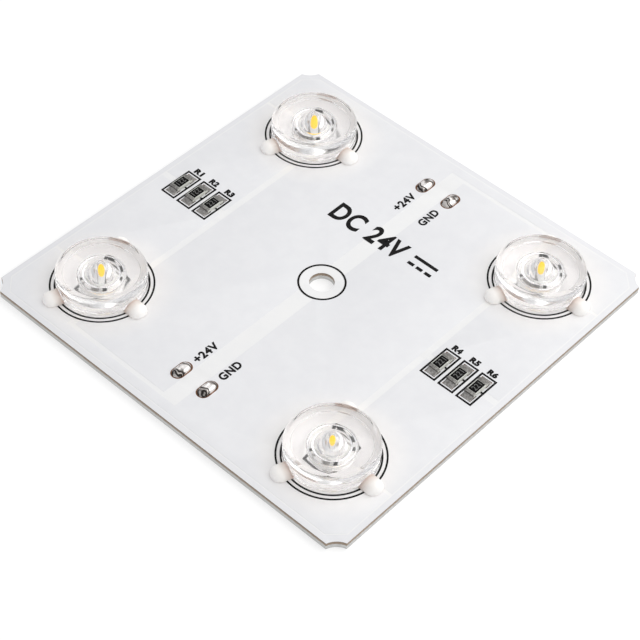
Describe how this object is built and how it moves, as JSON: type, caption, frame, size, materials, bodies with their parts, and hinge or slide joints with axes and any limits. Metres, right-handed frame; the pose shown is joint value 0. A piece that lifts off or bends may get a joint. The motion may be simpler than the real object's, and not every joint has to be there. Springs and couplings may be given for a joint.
{
  "type": "led panel",
  "caption": "Square aluminium-backed LED module: white circuit board with clear-lensed LEDs near the corners, chip resistors, wire pads and a central screw hole.",
  "frame": {"origin": "middle of the back face, on the axis of the fixing hole", "axes": "+Z out of the lit face, +X and +Y along the board edges; the wire pads lie up and down the +Y axis"},
  "size_m": [0.065, 0.065, 0.0058],
  "materials": {
    "aluminium": "satin rolled sheet",
    "dielectric_brown": "matt, cut edge",
    "copper": "satin",
    "mask_white": "satin",
    "ink_black": "matt",
    "lens_clear": "polished",
    "glue_clear": "gloss",
    "led_white": "matt",
    "lead_silver": "bright plated",
    "die_blue": "gloss",
    "phosphor_yellow": "satin",
    "solder": "bright",
    "ceramic_white": "matt",
    "coat_black": "satin",
    "cap_tin": "bright"
  },
  "bodies": {
    "root": {"aluminium_base": "aluminium", "dielectric_layer": "dielectric_brown", "copper_foil": "copper", "solder_mask": "mask_white", "legend_print": "ink_black", "lens_1": "lens_clear", "lens_2": "lens_clear", "lens_3": "lens_clear", "lens_4": "lens_clear", "lens_glue_1": "glue_clear", "lens_glue_2": "glue_clear", "lens_glue_3": "glue_clear", "lens_glue_4": "glue_clear", "led_body_1": "led_white", "led_body_2": "led_white", "led_body_3": "led_white", "led_body_4": "led_white", "led_leads_1": "lead_silver", "led_leads_2": "lead_silver", "led_leads_3": "lead_silver", "led_leads_4": "lead_silver", "led_dice_1": "die_blue", "led_dice_2": "die_blue", "led_dice_3": "die_blue", "led_dice_4": "die_blue", "led_phosphor_1": "phosphor_yellow", "led_phosphor_2": "phosphor_yellow", "led_phosphor_3": "phosphor_yellow", "led_phosphor_4": "phosphor_yellow", "led_solder_1": "solder", "led_solder_2": "solder", "led_solder_3": "solder", "led_solder_4": "solder", "resistor_body_1": "ceramic_white", "resistor_body_2": "ceramic_white", "resistor_body_3": "ceramic_white", "resistor_body_4": "ceramic_white", "resistor_body_5": "ceramic_white", "resistor_body_6": "ceramic_white", "resistor_coat_1": "coat_black", "resistor_coat_2": "coat_black", "resistor_coat_3": "coat_black", "resistor_coat_4": "coat_black", "resistor_coat_5": "coat_black", "resistor_coat_6": "coat_black", "resistor_ends_1": "cap_tin", "resistor_ends_2": "cap_tin", "resistor_ends_3": "cap_tin", "resistor_ends_4": "cap_tin", "resistor_ends_5": "cap_tin", "resistor_ends_6": "cap_tin", "resistor_solder_1": "solder", "resistor_solder_2": "solder", "resistor_solder_3": "solder", "resistor_solder_4": "solder", "resistor_solder_5": "solder", "resistor_solder_6": "solder", "wire_solder_upper": "solder", "wire_solder_lower": "solder"}
  },
  "joints": []
}
